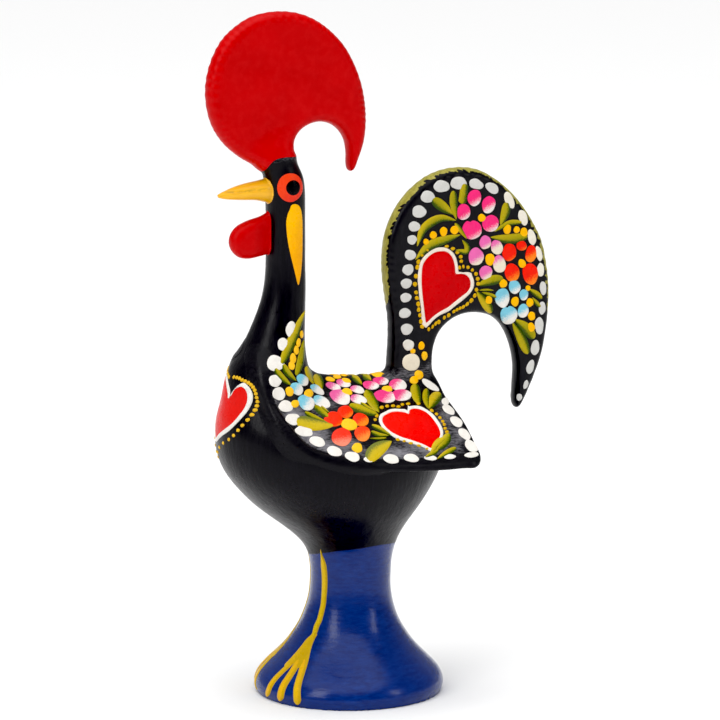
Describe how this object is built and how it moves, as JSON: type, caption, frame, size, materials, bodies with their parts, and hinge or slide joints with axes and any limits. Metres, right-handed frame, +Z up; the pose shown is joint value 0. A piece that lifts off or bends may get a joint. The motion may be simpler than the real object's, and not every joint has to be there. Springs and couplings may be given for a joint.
{
  "type": "painted clay rooster figurine",
  "caption": "Standing rooster figurine of hand-painted clay with a round comb, a hooked tail and a roof-like back, on a flared round foot.",
  "frame": {"origin": "centre of the flat ring the foot stands on", "axes": "+Z up, the bird faces -X and its left side is -Y"},
  "size_m": [0.136, 0.0688, 0.25],
  "materials": {
    "black_enamel": "gloss black enamel over fired clay, with painted hearts, flowers, leaves and dots",
    "blue_enamel": "gloss royal blue enamel over fired clay",
    "red_enamel": "satin red enamel over fired clay",
    "yellow_enamel": "gloss yellow enamel over fired clay",
    "white_enamel": "raised dabs of white enamel",
    "green_enamel": "raised strokes of olive green and yellow enamel",
    "petal_enamel": "raised dabs of pink, lilac, orange and blue enamel with white in them"
  },
  "bodies": {
    "root": {"foot": "blue_enamel", "body_left_shell": "black_enamel", "body_right_shell": "black_enamel", "left_wing": "black_enamel", "right_wing": "black_enamel", "tail": "black_enamel", "comb": "red_enamel", "beak": "yellow_enamel", "wattle": "red_enamel"}
  },
  "joints": []
}
